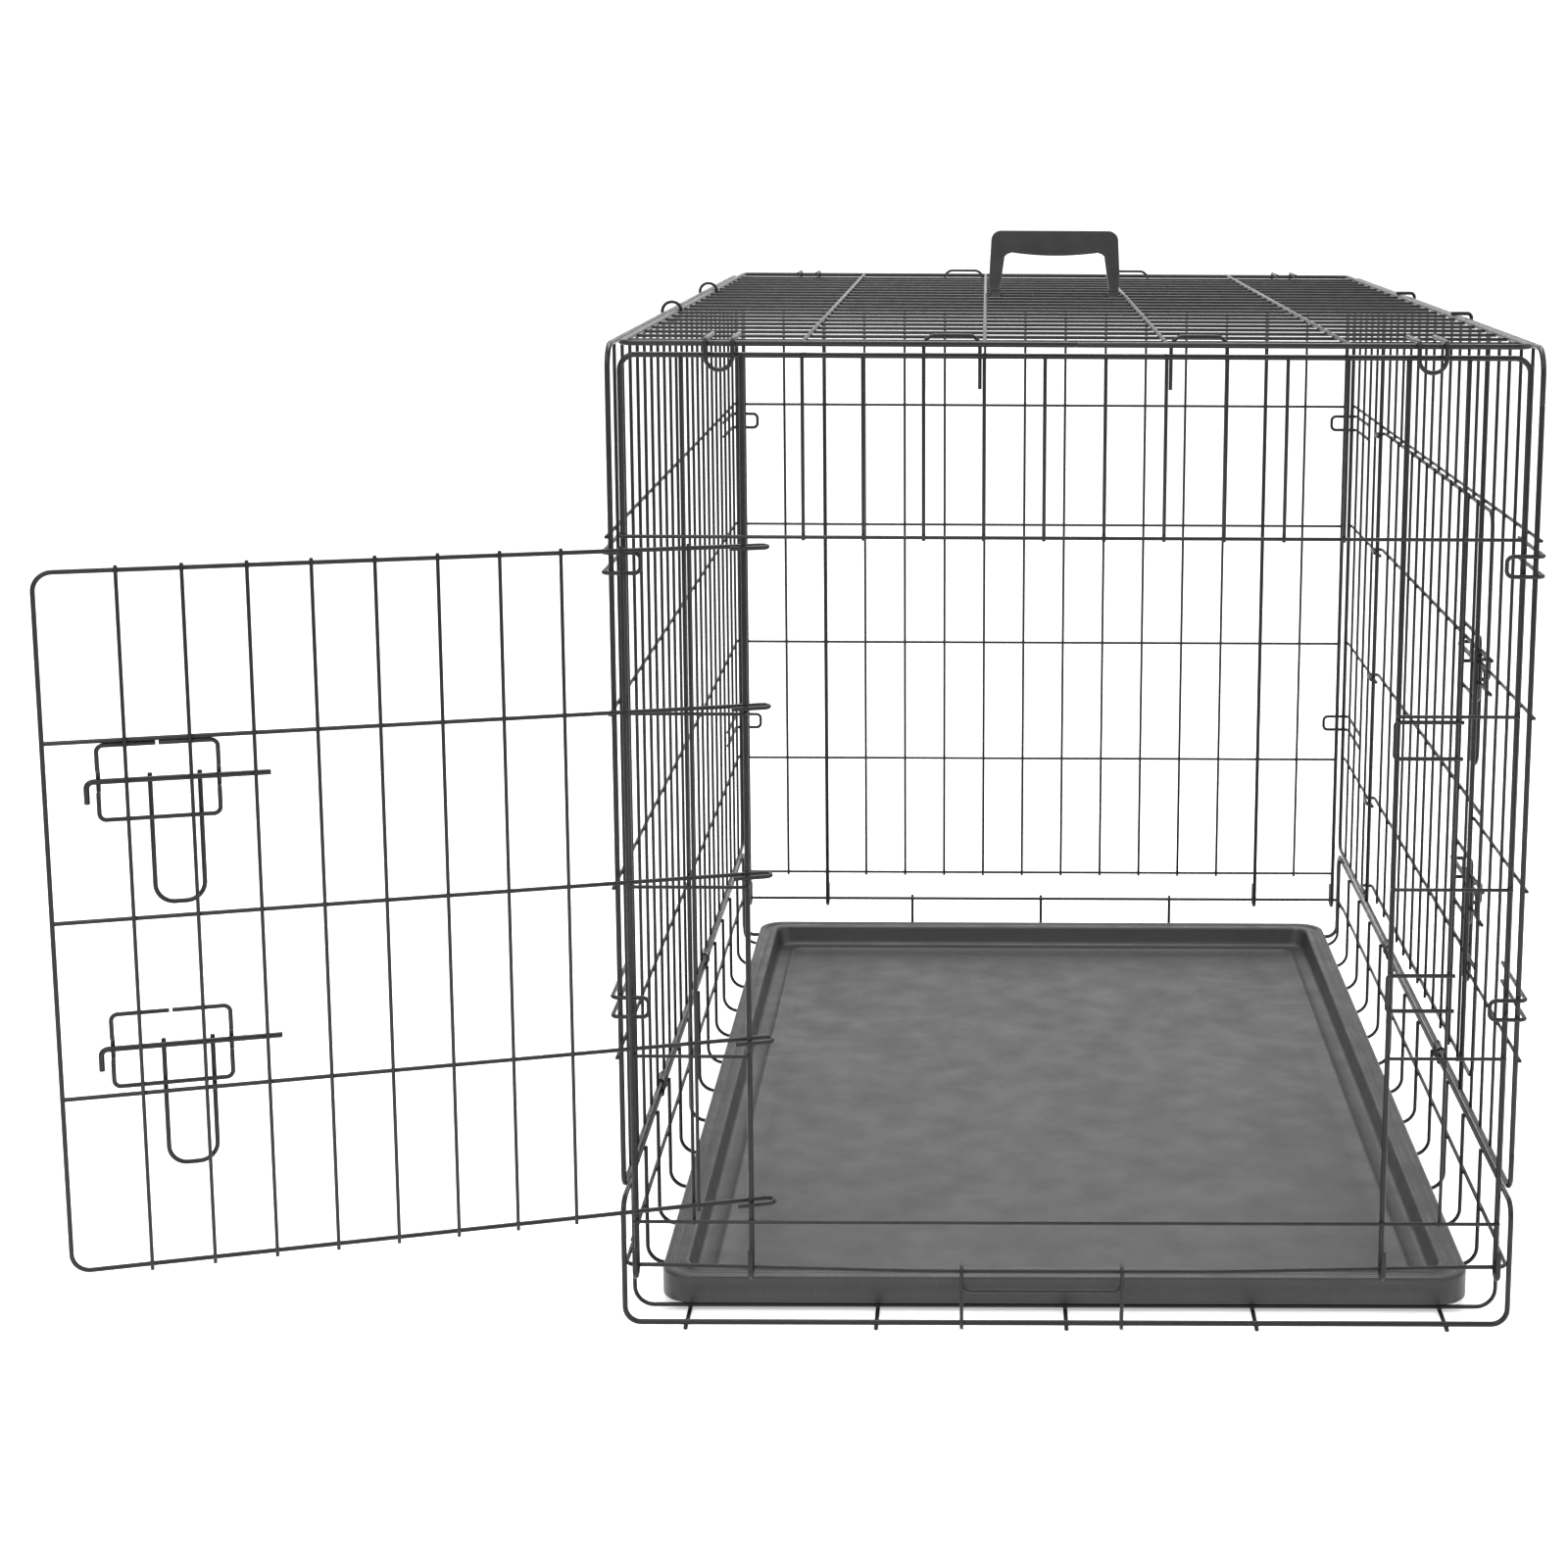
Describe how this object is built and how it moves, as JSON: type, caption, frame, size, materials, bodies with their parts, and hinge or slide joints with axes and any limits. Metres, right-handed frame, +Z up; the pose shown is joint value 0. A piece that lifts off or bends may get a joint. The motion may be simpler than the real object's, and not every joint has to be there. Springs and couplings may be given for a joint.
{
  "type": "folding wire dog crate",
  "caption": "Folding black wire dog crate with a front door standing open, a side door with slide bolts, a lift-up top with a carry handle, and a slide-out floor tray.",
  "frame": {"origin": "on the floor, under the middle of the crate's body; the open front door reaches past the body, so the bounding box's middle is not the origin", "axes": "+Z up; the front door's end faces -Y; the long way runs along Y; the side door is on the +X side; hinges of the front door are at the left jamb, -X"},
  "size_m": [1.1476, 1.2276, 0.8695],
  "materials": {
    "black_wire": "satin black electro-coat over welded steel wire",
    "tray_plastic": "moulded charcoal plastic with a faint sheen",
    "handle_plastic": "moulded black plastic, satin, with softly rounded edges"
  },
  "bodies": {
    "crate": {"base_front_bow": "black_wire", "base_rear_bow": "black_wire", "base_hinge_rails": "black_wire", "floor_runners": "black_wire", "floor_cross_wires": "black_wire", "rear_guard_posts": "black_wire", "guard_wire_front": "black_wire", "guard_wire_rear": "black_wire", "guard_wire_sides": "black_wire", "hinge_sleeves": "black_wire", "left_panel_frame": "black_wire", "left_panel_mesh": "black_wire", "left_panel_clips": "black_wire", "right_panel_top_wire": "black_wire", "right_panel_bottom_wire": "black_wire", "right_panel_posts": "black_wire", "right_panel_header": "black_wire", "right_panel_front_mesh": "black_wire", "right_panel_rear_mesh": "black_wire", "right_panel_clips": "black_wire", "side_door_receivers": "black_wire", "front_panel_frame": "black_wire", "front_door_posts": "black_wire", "front_panel_header": "black_wire", "front_panel_left_mesh": "black_wire", "front_panel_right_mesh": "black_wire", "front_panel_sill": "black_wire", "front_panel_loops": "black_wire", "front_door_receivers": "black_wire"},
    "rear_panel": {"rear_panel_frame": "black_wire", "rear_panel_hook_posts": "black_wire", "rear_panel_mesh": "black_wire", "rear_panel_loops": "black_wire"},
    "top_panel": {"top_panel_frame": "black_wire", "top_panel_cross_wires": "black_wire", "top_panel_long_wires": "black_wire", "top_panel_clips": "black_wire", "top_panel_rings": "black_wire", "top_panel_hooks": "black_wire"},
    "front_door": {"front_door_frame": "black_wire", "front_door_mesh": "black_wire", "front_door_latch_guides": "black_wire"},
    "front_bolt_upper": {"front_door_upper_bolt": "black_wire"},
    "front_bolt_lower": {"front_door_lower_bolt": "black_wire"},
    "side_door": {"side_door_frame": "black_wire", "side_door_mesh": "black_wire", "side_door_latch_guides": "black_wire"},
    "side_bolt_upper": {"side_door_upper_bolt": "black_wire"},
    "side_bolt_lower": {"side_door_lower_bolt": "black_wire"},
    "tray": {"floor_tray": "tray_plastic"},
    "tray_stop": {"tray_stop": "black_wire"},
    "carry_handle": {"carry_handle": "handle_plastic"}
  },
  "joints": [
    {"name": "front_door_hinge", "type": "hinge", "parent": "crate", "child": "front_door", "pos_m": [-0.2585, -0.534, 0], "axis": [0, 0, 1], "range_deg": [0, 163.65]},
    {"name": "front_bolt_upper_slide", "type": "slide", "parent": "front_door", "child": "front_bolt_upper", "axis": [-0.9596, -0.2815, 0], "range_m": [0, 0.032]},
    {"name": "front_bolt_lower_slide", "type": "slide", "parent": "front_door", "child": "front_bolt_lower", "axis": [-0.9596, -0.2815, 0], "range_m": [0, 0.032]},
    {"name": "side_door_hinge", "type": "hinge", "parent": "crate", "child": "side_door", "pos_m": [0.3613, 0.3055, 0], "axis": [0, 0, 1], "range_deg": [0, 160]},
    {"name": "side_bolt_upper_slide", "type": "slide", "parent": "side_door", "child": "side_bolt_upper", "axis": [0, -1, 0], "range_m": [0, 0.032]},
    {"name": "side_bolt_lower_slide", "type": "slide", "parent": "side_door", "child": "side_bolt_lower", "axis": [0, -1, 0], "range_m": [0, 0.032]},
    {"name": "top_panel_hinge", "type": "hinge", "parent": "crate", "child": "top_panel", "pos_m": [-0.3613, 0, 0.803], "axis": [0, -1, 0], "range_deg": [0, 180]},
    {"name": "rear_panel_fold", "type": "hinge", "parent": "crate", "child": "rear_panel", "pos_m": [0, 0.541, 0.054], "axis": [1, 0, 0], "range_deg": [0, 90]},
    {"name": "tray_slide", "type": "slide", "parent": "crate", "child": "tray", "axis": [0, -1, 0], "range_m": [-0.02, 0.022]},
    {"name": "tray_stop_hinge", "type": "hinge", "parent": "crate", "child": "tray_stop", "pos_m": [0, -0.5477, 0.0056], "axis": [1, 0, 0], "range_deg": [0, 90]},
    {"name": "carry_handle_fold", "type": "hinge", "parent": "top_panel", "child": "carry_handle", "pos_m": [0, 0.14755, 0.8035], "axis": [1, 0, 0], "range_deg": [-78, 78]}
  ],
  "couplings": [
    {"joint": "rear_panel_fold", "follows": "top_panel_hinge", "ratio": 0.5}
  ]
}
